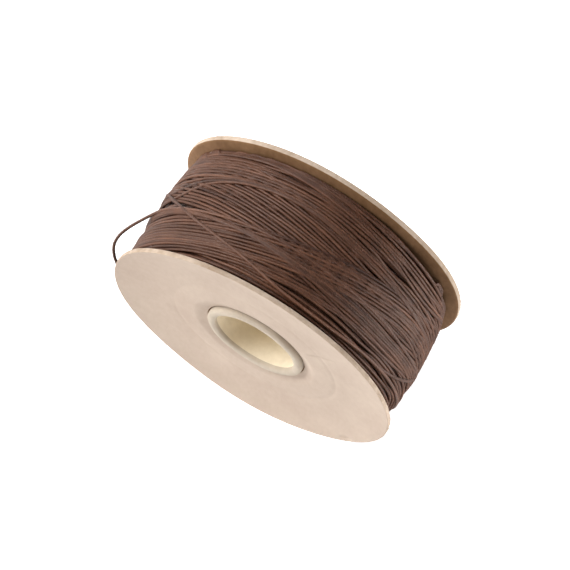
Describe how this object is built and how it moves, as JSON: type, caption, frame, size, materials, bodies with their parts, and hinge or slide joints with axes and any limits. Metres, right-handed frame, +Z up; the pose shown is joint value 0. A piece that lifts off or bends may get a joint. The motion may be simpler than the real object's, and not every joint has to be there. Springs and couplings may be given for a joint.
{
  "type": "thread bobbin",
  "caption": "Small bobbin with cream paperboard sides and a hollow paper core, wound full of fine brown waxed thread with a loose end.",
  "frame": {"origin": "on the bore axis, midway between the two flanges", "axes": "+Y along the bore from the front flange to the rear one, +Z up as the bobbin lies on its rims"},
  "size_m": [0.0266, 0.0116, 0.0254],
  "materials": {
    "cream_board": "matte",
    "pale_paper": "matte",
    "kraft_paper": "matte",
    "brown_thread": "waxed"
  },
  "bodies": {
    "root": {"front_flange": "cream_board", "rear_flange": "cream_board", "core_tube": "pale_paper", "core_sleeve": "kraft_paper", "thread_winding": "brown_thread", "loose_thread": "brown_thread"}
  },
  "joints": []
}
